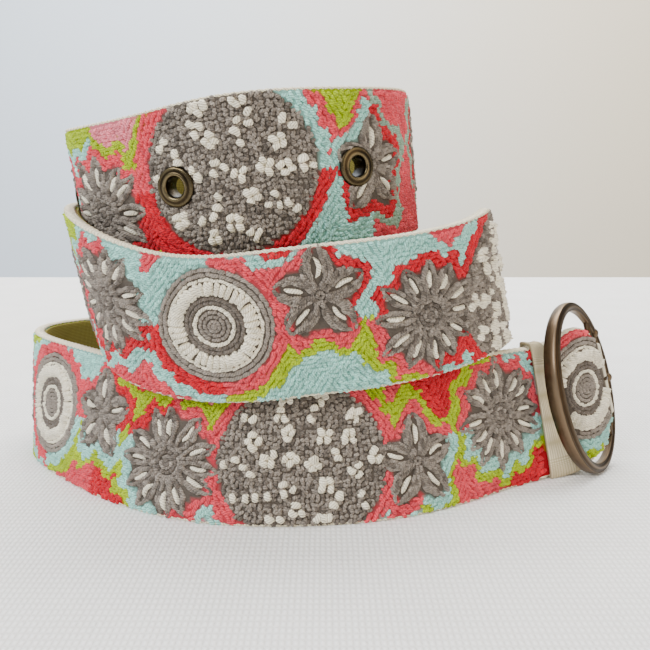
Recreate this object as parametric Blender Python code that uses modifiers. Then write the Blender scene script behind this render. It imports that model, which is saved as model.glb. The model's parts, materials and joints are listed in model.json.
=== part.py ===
"""Embroidered belt, rolled in three stacked turns and standing on its edge.

The strap is one long band, carried through a short table of stations from the buckle's bar to its free end.
It wraps the bar, runs back a little way behind itself, and is lined on its inner side. The buckle is a full
oval with an inset bar, folded over the strap's face. All lengths are in metres, +Z is up and the belt stands
on Z = 0.
"""

import math

import bmesh
import bpy
import numpy as np
from mathutils import Matrix

# Strap and lining
BELT_WIDTH = 0.050
BAND_THICKNESS = 0.0034
BAND_EDGE_ROUND = 0.0008
LINING_THICKNESS = 0.0009
LINING_INSET = 0.0008
# Where the lining stops, as a share of the tip's length
LINING_FROM_TIP = 0.55
GAP = 0.0003
SECTION_STEP = 0.0060
TIP_LENGTH = 0.020
TIP_BLUNT = 0.0060

# The roll's size in plan, which the stations' shares follow
COIL_HALF_WIDTH = 0.120
COIL_DEPTH = 0.130

# Buckle frame: an oval that is broad at its front and thin behind its bar
FRAME_HALF_HEIGHT = 0.0335
FRAME_HALF_WIDTH = 0.0240
FRONT_BAND = 0.0050
FRONT_DEPTH = 0.0064
REAR_BAND = 0.0026
REAR_DEPTH = 0.0026
BAR_RADIUS = 0.0013
BAR_INSET = 0.0093
BAR_SIDES = 12
BEAD_RADIUS = 0.0021
# Where the beads sit round the oval, from the middle of its thin side
BEADS = (("bead_upper", math.radians(34.0)), ("bead_middle", math.radians(-2.0)))
FRAME_AZIMUTH = math.radians(47.9)
FRAME_LEAN = math.radians(14.4)
FRAME_TURN = math.radians(2.9)
FRAME_X = 0.834
FRAME_Y = 0.321

# The band's outline across itself, as shares of half its width and half its depth
OCTAGON = (
    (1.0, 0.45),
    (0.45, 1.0),
    (-0.45, 1.0),
    (-1.0, 0.45),
    (-1.0, -0.45),
    (-0.45, -1.0),
    (0.45, -1.0),
    (1.0, -0.45),
)

# Where the strap wraps the bar
FOLD_THICKNESS = 0.0018
FOLD_HALF_WIDTH = 0.0142
FLAP_HALF_WIDTH = 0.0165
FLAP_LENGTH = 0.024
TAPER_LENGTH = 0.014
FOLD_STEPS = 8
FLAP_GAP = 0.0006
FOLD_START = 0.001

# Prong
PRONG_RADIUS = 0.0011
PRONG_LENGTH = 0.037
PRONG_TIP_RISE = 0.0090
PRONG_STRAIGHT_FROM = 0.16
PRONG_SLOT_SIDE = 0.0007
# The hook goes round the bar from its rear side, by these turns from level
HOOK_FROM = math.radians(-72.0)
HOOK_TO = math.radians(128.0)
SLOT_REACH = 0.0012
SLOT_SHARE = 0.9

# Cloth loop beside the buckle
KEEPER_WIDTH = 0.0115
KEEPER_THICKNESS = 0.0010
KEEPER_PLAY = 0.0005
KEEPER_FROM_BAR = 0.0310

# Eyelets, counted from the one nearest the buckle
EYELET_COUNT = 5
EYELET_SPACING = 0.060
EYELET_FROM_TIP = 0.043
EYELET_HOLE = 0.0028
EYELET_TUBE = 0.0006
EYELET_FLANGE = 0.0058
EYELET_BACK_FLANGE = 0.0047
EYELET_RISE = 0.0009
EYELET_SIDES = 16

# Stations of the strap's outer face, from the buckle to the free end. x is a share of the coil's half width,
# y of its depth and foot, the height of the lower edge, of the belt width. lean_x and lean_y are how far the
# upper edge stands to the right of the lower one and behind it, for each unit of height.
COLUMNS = ("x", "y", "foot", "lean_x", "lean_y")
SCALES = {"x": COIL_HALF_WIDTH, "y": COIL_DEPTH, "foot": BELT_WIDTH, "lean_x": 1.0, "lean_y": 1.0}
STATIONS = (
    (0.817, 0.340, 0.125, -0.140, 0.130),
    (0.717, 0.302, 0.035, -0.060, 0.130),
    (0.610, 0.252, 0.004, -0.020, 0.170),
    (0.453, 0.160, 0.000, -0.020, 0.250),
    (0.238, 0.052, 0.000, -0.010, 0.320),
    (-0.042, -0.003, 0.000, 0.010, 0.345),
    (-0.323, 0.017, 0.000, 0.035, 0.350),
    (-0.582, 0.135, 0.000, 0.060, 0.310),
    (-0.840, 0.345, 0.000, 0.080, 0.200),
    (-0.993, 0.526, 0.000, 0.050, 0.070),
    (-1.013, 0.705, 0.000, 0.000, 0.000),
    (-0.833, 0.883, 0.000, 0.000, 0.000),
    (-0.525, 0.972, 0.050, 0.000, 0.000),
    (-0.154, 0.978, 0.220, 0.000, 0.000),
    (0.231, 0.878, 0.490, 0.000, 0.000),
    (0.498, 0.653, 0.755, -0.070, 0.000),
    (0.560, 0.446, 0.985, -0.180, -0.046),
    (0.539, 0.305, 1.035, -0.200, -0.086),
    (0.420, 0.093, 0.985, -0.100, -0.168),
    (0.182, -0.014, 0.892, -0.076, -0.190),
    (-0.104, -0.060, 0.828, -0.082, -0.210),
    (-0.380, -0.019, 0.790, -0.112, -0.200),
    (-0.625, 0.104, 0.945, -0.165, -0.120),
    (-0.728, 0.275, 1.040, -0.200, -0.052),
    (-0.765, 0.500, 1.070, -0.130, -0.010),
    (-0.540, 0.708, 1.103, -0.060, 0.000),
    (-0.235, 0.780, 1.382, -0.044, 0.000),
    (0.064, 0.723, 1.642, -0.046, 0.000),
    (0.246, 0.553, 1.824, -0.072, 0.000),
    (0.272, 0.363, 1.868, -0.100, 0.000),
    (0.176, 0.149, 1.830, -0.090, -0.040),
    (-0.013, 0.029, 1.790, -0.084, -0.060),
    (-0.255, 0.001, 1.738, -0.080, -0.060),
    (-0.509, 0.088, 1.632, -0.116, -0.036),
    (-0.705, 0.242, 1.585, -0.170, -0.016),
    (-0.728, 0.400, 1.612, -0.140, 0.000),
    (-0.600, 0.580, 1.634, -0.040, 0.000),
    (-0.348, 0.667, 1.656, 0.000, 0.000),
    (-0.063, 0.618, 1.678, 0.000, 0.000),
)
# A foot that is lower than this share of the width stands on the table.
ON_TABLE = 0.012
# The wall's thickness lies level from this far along the strap, so that its edges stand flat.
LEVEL_FROM = 0.012
LEVEL_BY = 0.040
# How often the run's aim from the front of the bar is worked out again.
AIM_ROUNDS = 4
# Half the distance over which the strap's heading is measured
HEADING_REACH = 0.001

UP = np.array([0.0, 0.0, 1.0])


def unit(v):
    return v / np.linalg.norm(v, axis=-1, keepdims=True)


def smooth_step(x):
    x = np.clip(x, 0.0, 1.0)
    return x * x * (3.0 - 2.0 * x)


def natural_cubic(knots, values, at):
    """Reads the smooth curve through values at the knots, with no bend at its two ends."""
    count = len(knots)
    h = np.diff(knots)
    matrix = np.eye(count)
    right = np.zeros((count, values.shape[1]))
    for i in range(1, count - 1):
        matrix[i, i - 1 : i + 2] = h[i - 1], 2.0 * (h[i - 1] + h[i]), h[i]
        right[i] = 6.0 * ((values[i + 1] - values[i]) / h[i] - (values[i] - values[i - 1]) / h[i - 1])
    bend = np.linalg.solve(matrix, right)
    i = np.clip(np.searchsorted(knots, at) - 1, 0, count - 2)
    after = (at - knots[i])[:, None]
    before = (knots[i + 1] - at)[:, None]
    step = h[i][:, None]
    cubic = (bend[i] * before**3 + bend[i + 1] * after**3) / (6.0 * step)
    early = (values[i] / step - bend[i] * step / 6.0) * before
    late = (values[i + 1] / step - bend[i + 1] * step / 6.0) * after
    return cubic + early + late


def frame_axes():
    """The oval's axes: towards its thin rear side, up along its bar, and out of its face."""
    along = np.array([math.cos(FRAME_AZIMUTH), math.sin(FRAME_AZIMUTH), 0.0])
    face = np.array([math.sin(FRAME_AZIMUTH), -math.cos(FRAME_AZIMUTH), 0.0])
    up = UP * math.cos(FRAME_LEAN) - face * math.sin(FRAME_LEAN)
    rear = along * math.cos(FRAME_TURN) + up * math.sin(FRAME_TURN)
    up = up * math.cos(FRAME_TURN) - along * math.sin(FRAME_TURN)
    return rear, up, np.cross(rear, up)


def oval_sections(count=44):
    """Corner rings of the oval band, round the loop. The band narrows from its front to its rear."""
    rear, up, face = frame_axes()
    turn = np.linspace(0.0, 2.0 * math.pi, count, endpoint=False)[:, None]
    front_share = (1.0 - np.cos(turn)) / 2.0
    band = REAR_BAND + (FRONT_BAND - REAR_BAND) * front_share
    depth = REAR_DEPTH + (FRONT_DEPTH - REAR_DEPTH) * front_share
    line = rear * (FRAME_HALF_WIDTH - band / 2.0) * np.cos(turn)
    line += up * (FRAME_HALF_HEIGHT - band / 2.0) * np.sin(turn)
    out = unit(rear * np.cos(turn) * FRAME_HALF_HEIGHT + up * np.sin(turn) * FRAME_HALF_WIDTH)
    band_out = out * band / 2.0
    depth_out = face * depth / 2.0
    return np.stack([line + band_out * a + depth_out * b for a, b in OCTAGON], axis=1)


def bar_centre():
    """The middle of the bar. The oval's lowest point stands on the table."""
    rear, up, face = frame_axes()
    lowest = oval_sections()[..., 2].min()
    centre = np.array([FRAME_X * COIL_HALF_WIDTH, FRAME_Y * COIL_DEPTH, -lowest])
    return centre, centre + rear * (FRAME_HALF_WIDTH - BAR_INSET)


def fold_radius():
    return BAR_RADIUS + GAP + FOLD_THICKNESS


def strap_line():
    """The stations with the bar's own in front, their distances along the strap, and two directions.

    The run leaves the front of the bar square to it, along away, aimed at the first station. out points from
    the bar to the strap's face.
    """
    rows = np.array(STATIONS) * [SCALES[name] for name in COLUMNS]
    _, bar_up, _ = frame_axes()
    _, bar = bar_centre()
    lean = bar_up[:2] / bar_up[2]
    first = np.array([*rows[0, :2], rows[0, 2] + BELT_WIDTH / 2.0])
    start = bar
    for _ in range(AIM_ROUNDS):
        away = first - start
        away = unit(away - bar_up * np.dot(away, bar_up))
        out = np.cross(bar_up, away)
        start = bar + out * fold_radius()
    foot = start[2] - bar_up[2] * BELT_WIDTH / 2.0
    rows = np.vstack([[start[0], start[1], foot, *lean], rows])
    middle = np.c_[rows[:, :2], rows[:, 2] + BELT_WIDTH / 2.0]
    knots = np.r_[0.0, np.cumsum(np.linalg.norm(np.diff(middle, axis=0), axis=1))]
    return rows, knots, away, out


def main_run(along):
    """Middle of the face, up direction, outward normal, half width, thickness and wall direction."""
    rows, knots, away, _ = strap_line()
    read = natural_cubic(knots, rows, np.clip(along, 0.0, knots[-1]))
    before = natural_cubic(knots, rows, np.clip(along - HEADING_REACH, 0.0, knots[-1]))
    after = natural_cubic(knots, rows, np.clip(along + HEADING_REACH, 0.0, knots[-1]))
    foot = np.where(read[:, 2] < ON_TABLE * BELT_WIDTH, 0.0, read[:, 2])
    heading = unit(after[:, :3] - before[:, :3])
    heading = unit(heading + (away - heading) * (1.0 - smooth_step(along / TAPER_LENGTH))[:, None])
    up = np.c_[read[:, 3:5], np.ones(len(read))]
    on_table = (foot == 0.0)[:, None]
    flat_heading = unit(heading * (1.0, 1.0, 0.0))
    heading = np.where(on_table, flat_heading, heading)
    up = unit(up - heading * (up * heading).sum(1)[:, None])
    normal = np.cross(up, heading)
    middle = np.c_[read[:, :2], foot] + up * (0.0, 0.0, BELT_WIDTH / 2.0)
    tapered = 1.0 - np.clip(along / TAPER_LENGTH, 0.0, 1.0)
    half = BELT_WIDTH / 2.0 - (BELT_WIDTH / 2.0 - FOLD_HALF_WIDTH) * tapered**2
    left = np.clip((knots[-1] - along) / TIP_LENGTH, 0.0, 1.0)
    half = TIP_BLUNT + (half - TIP_BLUNT) * np.sqrt(1.0 - (1.0 - left) ** 2)
    thick = FOLD_THICKNESS + (BAND_THICKNESS - FOLD_THICKNESS) * smooth_step(along / TAPER_LENGTH)
    level = unit(normal * (1.0, 1.0, 0.0))
    share = smooth_step((along - LEVEL_FROM) / (LEVEL_BY - LEVEL_FROM))[:, None]
    wall = unit(normal + (level - normal) * share)
    wall = wall / (wall * normal).sum(1)[:, None]
    return middle, up, normal, half, thick, wall


def strap_length():
    return strap_line()[1][-1]


def run_places():
    """Distances along the strap of the sections, which the lining shares with it."""
    length = strap_length()
    count = int(round(length / SECTION_STEP)) + 1
    return np.linspace(FOLD_START, length, count)


def strap_sections():
    """The whole band: the short flap behind the bar, the fold round it, and the long run to the free end."""
    _, _, away, out = strap_line()
    _, bar_up, _ = frame_axes()
    _, bar = bar_centre()
    run = run_places()
    along = run[run <= FLAP_LENGTH][::-1]
    middle, up, normal, half, thick, wall = main_run(along)
    around_bar = 2.0 * (BAR_RADIUS + GAP)
    hollow = FLAP_GAP + (around_bar - FLAP_GAP) * (1.0 - smooth_step(along / TAPER_LENGTH))
    flap = middle - wall * (thick + hollow + FOLD_THICKNESS)[:, None]
    narrow = 1.0 - smooth_step(along / TAPER_LENGTH)
    flap_half = FLAP_HALF_WIDTH + (FOLD_HALF_WIDTH - FLAP_HALF_WIDTH) * narrow
    turn = np.linspace(-math.pi / 2.0, math.pi / 2.0, FOLD_STEPS + 1)[:, None]
    radial = out * np.sin(turn) - away * np.cos(turn)
    fold = bar + radial * fold_radius()
    m2, up2, normal2, half2, thick2, wall2 = main_run(run)
    same = np.ones(FOLD_STEPS + 1)
    centre = np.vstack([flap, fold, m2])
    ups = np.vstack([up, np.outer(same, bar_up), up2])
    walls = np.vstack([-wall, radial, wall2])
    halves = np.r_[flap_half, same * FOLD_HALF_WIDTH, half2]
    thicks = np.r_[np.full(len(along) + len(same), FOLD_THICKNESS), thick2]
    return band_rings(centre, ups, walls, halves, thicks, BAND_EDGE_ROUND)


def band_rings(centre, up, wall, half, thick, edge):
    """Corners of a flat band with rounded edges at each place. The face is at wall depth 0."""
    edge = np.minimum(edge, thick * 0.3)
    none = np.zeros(len(thick))
    corners = (
        (-half + edge, none),
        (none, none),
        (half - edge, none),
        (half, edge),
        (half, thick - edge),
        (half - edge, thick),
        (none, thick),
        (-half + edge, thick),
        (-half, thick - edge),
        (-half, edge),
    )
    return np.stack([centre + up * h[:, None] - wall * d[:, None] for h, d in corners], axis=1)


def new_object(name, mesh, collection, material=None):
    thing = bpy.data.objects.new(name, mesh)
    collection.objects.link(thing)
    if material:
        mesh.materials.append(material)
    return thing


def loft(name, rings, closed=False):
    """A closed skin through rings of corners, with its two ends filled unless it closes on itself.

    All its triangles lean the same way, so that two skins with facing corners stay parallel where they twist.
    """
    bm = bmesh.new()
    grid = [[bm.verts.new(corner) for corner in ring] for ring in rings.tolist()]
    pairs = list(zip(grid, grid[1:] + grid[:1] if closed else grid[1:]))
    for one, two in pairs:
        for k in range(len(one)):
            n = (k + 1) % len(one)
            bm.faces.new((one[k], one[n], two[n]))
            bm.faces.new((one[k], two[n], two[k]))
    if not closed:
        bm.faces.new(grid[0][::-1])
        bm.faces.new(grid[-1])
    bmesh.ops.recalc_face_normals(bm, faces=bm.faces)
    mesh = bpy.data.meshes.new(name)
    bm.to_mesh(mesh)
    bm.free()
    return mesh


def boolean(target, cutter, operation):
    step = target.modifiers.new(cutter.name, "BOOLEAN")
    step.object = cutter
    step.operation = operation
    step.solver = "EXACT"


def as_cutter(thing):
    thing.hide_render = True
    thing.display_type = "WIRE"
    return thing


def placing(origin, x, y, z):
    """A matrix with its axes along x, y and z and its origin at a point."""
    matrix = np.eye(4)
    matrix[:3, 0], matrix[:3, 1], matrix[:3, 2], matrix[:3, 3] = x, y, z, origin
    return Matrix(matrix.tolist())


def cylinder(name, radius, length, collection, matrix, sides):
    bm = bmesh.new()
    bmesh.ops.create_cone(bm, cap_ends=True, segments=sides, radius1=radius, radius2=radius, depth=length)
    mesh = bpy.data.meshes.new(name)
    bm.to_mesh(mesh)
    bm.free()
    thing = new_object(name, mesh, collection)
    thing.matrix_world = matrix
    return thing


def prism(name, outline, height, collection, matrix):
    """A flat outline made as thick as height, half to each side of its plane."""
    bm = bmesh.new()
    face = bm.faces.new([bm.verts.new((x, y, -height / 2.0)) for x, y in outline])
    risen = bmesh.ops.extrude_face_region(bm, geom=[face])["geom"]
    corners = [item for item in risen if isinstance(item, bmesh.types.BMVert)]
    bmesh.ops.translate(bm, vec=(0.0, 0.0, height), verts=corners)
    bmesh.ops.recalc_face_normals(bm, faces=bm.faces)
    mesh = bpy.data.meshes.new(name)
    bm.to_mesh(mesh)
    bm.free()
    thing = new_object(name, mesh, collection)
    thing.matrix_world = matrix
    return thing


def finish(name, colour, roughness, metallic=0.0):
    material = bpy.data.materials.new(name)
    material.use_nodes = True
    shader = material.node_tree.nodes["Principled BSDF"]
    shader.inputs["Base Color"].default_value = (*colour, 1.0)
    shader.inputs["Roughness"].default_value = roughness
    shader.inputs["Metallic"].default_value = metallic
    return material


def eyelet_places():
    """Distances along the strap of the eyelets, the one nearest the buckle first."""
    last = strap_length() - EYELET_FROM_TIP
    return [last - EYELET_SPACING * k for k in reversed(range(EYELET_COUNT))]


def eyelet_frame(along):
    """The middle of the wall at an eyelet, with the wall's axes."""
    middle, up, normal, _, _, _ = (value[0] for value in main_run(np.array([along])))
    return placing(middle, np.cross(up, normal), up, normal)


def make_strap(belt, cutters, material):
    strap = new_object("strap", loft("strap", strap_sections()), belt, material)
    for k, along in enumerate(eyelet_places()):
        cut_eyelet_hole(strap, k, along, cutters)
    _, _, away, out = strap_line()
    _, bar_up, _ = frame_axes()
    _, bar = bar_centre()
    slot = 2.0 * (PRONG_RADIUS + PRONG_SLOT_SIDE)
    reach = fold_radius() + SLOT_REACH
    behind = FLAP_LENGTH * SLOT_SHARE
    outline = (
        (-reach, reach),
        (reach, reach),
        (reach, -GAP),
        (behind, -GAP),
        (behind, -reach),
        (-reach, -reach),
    )
    cut = prism("prong_slot", outline, slot, cutters, placing(bar, away, out, bar_up))
    boolean(strap, as_cutter(cut), "DIFFERENCE")
    return strap


def cut_eyelet_hole(wall, k, along, cutters):
    radius = EYELET_HOLE + EYELET_TUBE + GAP
    name = f"{wall.name}_hole_{k + 1}"
    depth = 4.0 * (BAND_THICKNESS + LINING_THICKNESS)
    cut = as_cutter(cylinder(name, radius, depth, cutters, eyelet_frame(along), EYELET_SIDES))
    boolean(wall, cut, "DIFFERENCE")


def make_lining(belt, cutters, material):
    run = run_places()
    along = run[(run > FLAP_LENGTH) & (run < run[-1] - TIP_LENGTH * LINING_FROM_TIP)]
    middle, up, _, half, thick, wall = main_run(along)
    centre = middle - wall * (thick + GAP)[:, None]
    half = half - LINING_INSET
    none = np.zeros(len(half))
    front = tuple((h, 0.0) for h in (half, none, -half))
    back = tuple((h, LINING_THICKNESS) for h in (-half, none, half))
    rings = np.stack([centre + up * h[:, None] - wall * d for h, d in front + back], axis=1)
    lining = new_object("lining", loft("lining", rings), belt, material)
    for k, place in enumerate(eyelet_places()):
        cut_eyelet_hole(lining, k, place, cutters)
    return lining


def make_keeper(belt, material):
    """An open tube round the strap and its lining, given its thickness by Solidify."""
    along = np.linspace(-0.5, 0.5, 5) * KEEPER_WIDTH + KEEPER_FROM_BAR
    middle, up, _, half, thick, wall = main_run(along)
    play = KEEPER_PLAY
    half = half + play
    front = np.zeros(len(along))
    back = thick + GAP + LINING_THICKNESS
    corners = (
        (-half, front),
        (-half + play, front - play),
        (half - play, front - play),
        (half, front),
        (half, back),
        (half - play, back + play),
        (-half + play, back + play),
        (-half, back),
    )
    rings = np.stack([middle + up * h[:, None] - wall * d[:, None] for h, d in corners], axis=1)
    bm = bmesh.new()
    grid = [[bm.verts.new(corner) for corner in ring] for ring in rings.tolist()]
    for one, two in zip(grid, grid[1:]):
        for k in range(len(one)):
            n = (k + 1) % len(one)
            bm.faces.new((one[k], one[n], two[n], two[k]))
    mesh = bpy.data.meshes.new("keeper_loop")
    bm.to_mesh(mesh)
    bm.free()
    keeper = new_object("keeper_loop", mesh, belt, material)
    wall_step = keeper.modifiers.new("wall", "SOLIDIFY")
    wall_step.thickness = KEEPER_THICKNESS
    wall_step.offset = 1.0
    wall_step.use_even_offset = True
    return keeper


def make_frame(belt, cutters, material, pivot):
    """The oval band, its bar and two small beads on its thin side, as one casting."""
    rear, up, face = frame_axes()
    centre, bar = bar_centre()
    mesh = loft("buckle_frame", oval_sections() + centre - bar, closed=True)
    frame = new_object("buckle_frame", mesh, belt, material)
    frame.parent = pivot
    clear_half_height = FRAME_HALF_HEIGHT - (REAR_BAND + FRONT_BAND) / 4.0
    share = (FRAME_HALF_WIDTH - BAR_INSET) / (FRAME_HALF_WIDTH - REAR_BAND / 2.0)
    length = 2.0 * clear_half_height * math.sqrt(1.0 - share**2)
    rod = as_cutter(cylinder("bar", BAR_RADIUS, length, cutters, placing(bar, rear, face, -up), BAR_SIDES))
    boolean(frame, rod, "UNION")
    for name, angle in BEADS:
        x = (FRAME_HALF_WIDTH - REAR_BAND / 2.0) * math.cos(angle)
        y = (FRAME_HALF_HEIGHT - REAR_BAND / 2.0) * math.sin(angle)
        bm = bmesh.new()
        bmesh.ops.create_uvsphere(bm, u_segments=10, v_segments=6, radius=BEAD_RADIUS)
        mesh = bpy.data.meshes.new(name)
        bm.to_mesh(mesh)
        bm.free()
        bead = as_cutter(new_object(name, mesh, cutters))
        bead.matrix_world = placing(centre + rear * x + up * y, rear, up, face)
        boolean(frame, bead, "UNION")
    return frame


def make_prong(belt, material):
    """A rod that hooks round the bar and runs back behind the strap, bowed away to clear the cloth loop."""
    _, _, away, out = strap_line()
    _, bar = bar_centre()
    ring = BAR_RADIUS + GAP + PRONG_RADIUS
    reach = np.linspace(PRONG_STRAIGHT_FROM, 1.0, 9)[:, None]
    shank = away * reach * PRONG_LENGTH - out * (ring + (PRONG_TIP_RISE - ring) * reach)
    points = np.vstack([shank[::-1], -out * ring, hook_round(away, out, ring)]) + bar
    curve = bpy.data.curves.new("prong", "CURVE")
    curve.dimensions = "3D"
    curve.bevel_depth = PRONG_RADIUS
    curve.bevel_resolution = 2
    curve.use_fill_caps = True
    line = curve.splines.new("POLY")
    line.points.add(len(points) - 1)
    line.points.foreach_set("co", np.c_[points, np.ones(len(points))].ravel())
    curve.materials.append(material)
    prong = bpy.data.objects.new("prong", curve)
    belt.objects.link(prong)
    return prong


def hook_round(away, out, ring):
    """Points round the far side of the bar, from behind it to its front."""
    turn = np.linspace(HOOK_FROM, HOOK_TO, 13)[:, None]
    return out * np.sin(turn) * ring - away * np.cos(turn) * ring


def make_eyelet(k, along, belt, material):
    """A ring through the wall: a domed flange on its face, a tube, and a rolled edge behind."""
    depth = BAND_THICKNESS + GAP + LINING_THICKNESS
    inner = EYELET_HOLE
    tube = EYELET_HOLE + EYELET_TUBE
    back = -(depth + 2.0 * GAP)
    profile = (
        (inner, back - EYELET_RISE * 0.5),
        (inner, EYELET_RISE * 0.75),
        (inner + 0.0006, GAP + EYELET_RISE),
        (EYELET_FLANGE - 0.0008, GAP + EYELET_RISE * 0.85),
        (EYELET_FLANGE, GAP + 0.0002),
        (EYELET_FLANGE, GAP),
        (tube, GAP),
        (tube, back),
        (EYELET_BACK_FLANGE, back),
        (EYELET_BACK_FLANGE - 0.0003, back - EYELET_RISE * 0.6),
        (inner + 0.0004, back - EYELET_RISE * 0.7),
    )
    name = f"eyelet_{k + 1}"
    mesh = bpy.data.meshes.new(name)
    edges = [(i, (i + 1) % len(profile)) for i in range(len(profile))]
    mesh.from_pydata([(x, 0.0, z) for x, z in profile], edges, [])
    eyelet = new_object(name, mesh, belt, material)
    spin = eyelet.modifiers.new("turned", "SCREW")
    spin.steps = EYELET_SIDES
    spin.render_steps = EYELET_SIDES
    spin.use_merge_vertices = True
    spin.merge_threshold = 0.00005
    eyelet.matrix_world = eyelet_frame(along)
    return eyelet


def make_pivot(belt):
    """An empty on the bar's axis, which carries the buckle frame."""
    _, bar = bar_centre()
    pivot = bpy.data.objects.new("frame_pivot", None)
    pivot.location = bar
    belt.objects.link(pivot)
    return pivot


def centre_on_origin(things):
    """Moves everything so that the middle of the footprint is at X = 0 and Y = 0."""
    bpy.context.view_layer.update()
    graph = bpy.context.evaluated_depsgraph_get()
    corners = []
    for thing in things:
        done = thing.evaluated_get(graph)
        mesh = done.to_mesh()
        points = np.array([done.matrix_world @ v.co for v in mesh.vertices])
        corners += [points.min(0), points.max(0)]
        done.to_mesh_clear()
    middle = (np.min(corners, axis=0) + np.max(corners, axis=0)) / 2.0
    shift = Matrix.Translation((-middle[0], -middle[1], 0.0))
    for thing in bpy.data.objects:
        if thing.parent is None:
            thing.matrix_world = shift @ thing.matrix_world
    bpy.context.view_layer.update()


def main():
    for thing in list(bpy.data.objects):
        bpy.data.objects.remove(thing, do_unlink=True)
    belt = bpy.data.collections.new("embroidered_belt")
    cutters = bpy.data.collections.new("cutters")
    bpy.context.scene.collection.children.link(belt)
    bpy.context.scene.collection.children.link(cutters)
    wool = finish("embroidered_wool", (0.42, 0.36, 0.33), 0.95)
    olive = finish("olive_lining", (0.20, 0.17, 0.045), 0.90)
    cream = finish("cream_cloth", (0.68, 0.61, 0.45), 0.90)
    bronze = finish("dark_bronze", (0.10, 0.07, 0.04), 0.38, 1.0)
    brass = finish("antique_brass", (0.13, 0.10, 0.06), 0.35, 1.0)
    pivot = make_pivot(belt)
    frame = make_frame(belt, cutters, bronze, pivot)
    things = [make_strap(belt, cutters, wool), make_lining(belt, cutters, olive), make_keeper(belt, cream)]
    things += [frame, make_prong(belt, bronze)]
    things += [make_eyelet(k, along, belt, brass) for k, along in enumerate(eyelet_places())]
    centre_on_origin(things)


main()
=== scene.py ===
"""Looks of the rolled embroidered belt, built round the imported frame.

The strap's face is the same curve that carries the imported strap. Stitches are placed on it in millimetres
along and across the strap, by a short chart of flowers and rounds. The cloth, the lining, the loop and the
metal are made round the same curve.
"""

import json
import math

import bpy
import numpy as np
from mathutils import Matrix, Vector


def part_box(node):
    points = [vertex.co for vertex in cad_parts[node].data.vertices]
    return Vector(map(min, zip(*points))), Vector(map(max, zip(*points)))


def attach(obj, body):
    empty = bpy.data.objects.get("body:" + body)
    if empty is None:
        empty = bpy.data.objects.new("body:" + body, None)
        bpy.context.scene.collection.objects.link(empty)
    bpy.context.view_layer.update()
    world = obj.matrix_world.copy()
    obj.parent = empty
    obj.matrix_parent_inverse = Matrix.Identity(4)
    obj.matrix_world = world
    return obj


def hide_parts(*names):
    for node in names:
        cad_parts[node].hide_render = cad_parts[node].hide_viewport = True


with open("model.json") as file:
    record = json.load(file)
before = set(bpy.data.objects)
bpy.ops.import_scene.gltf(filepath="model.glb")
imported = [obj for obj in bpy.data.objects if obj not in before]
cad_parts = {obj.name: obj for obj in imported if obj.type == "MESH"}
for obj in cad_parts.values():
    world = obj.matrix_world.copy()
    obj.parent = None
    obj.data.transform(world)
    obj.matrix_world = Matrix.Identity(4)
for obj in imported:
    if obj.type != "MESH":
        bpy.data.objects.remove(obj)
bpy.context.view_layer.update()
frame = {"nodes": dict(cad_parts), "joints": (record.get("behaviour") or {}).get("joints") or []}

MM = 0.001

# Strap, in metres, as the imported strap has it
BELT_WIDTH = 0.050
BAND_THICKNESS = 0.0034
LINING_THICKNESS = 0.0009
GAP = 0.0003
COIL_HALF_WIDTH = 0.120
COIL_DEPTH = 0.130
TIP_LENGTH = 0.020
TIP_BLUNT = 0.0060
BAR_RADIUS = 0.0013
BAR_INSET = 0.0093
FOLD_THICKNESS = 0.0018
FOLD_HALF_WIDTH = 0.0142
FLAP_HALF_WIDTH = 0.0165
FLAP_LENGTH = 0.024
FLAP_GAP = 0.0006
FOLD_START = 0.001
TAPER_LENGTH = 0.014
LEVEL_FROM = 0.012
LEVEL_BY = 0.040
ON_TABLE = 0.012
HEADING_REACH = 0.001
AIM_ROUNDS = 4
RUN_STEPS = 700
TABLE_STEPS = 2400
SEARCH_STEPS = 4000
EDGE_ROUNDING = 0.0010
STRAP_COLUMNS = 27

# Lining
LINING_AFTER_FLAP = 0.002
LINING_FROM_TIP = 0.55
LINING_MARGIN = 0.0008
LINING_EDGE = 0.0003
LINING_STEPS = 600
LINING_COLUMNS = 23

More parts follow.
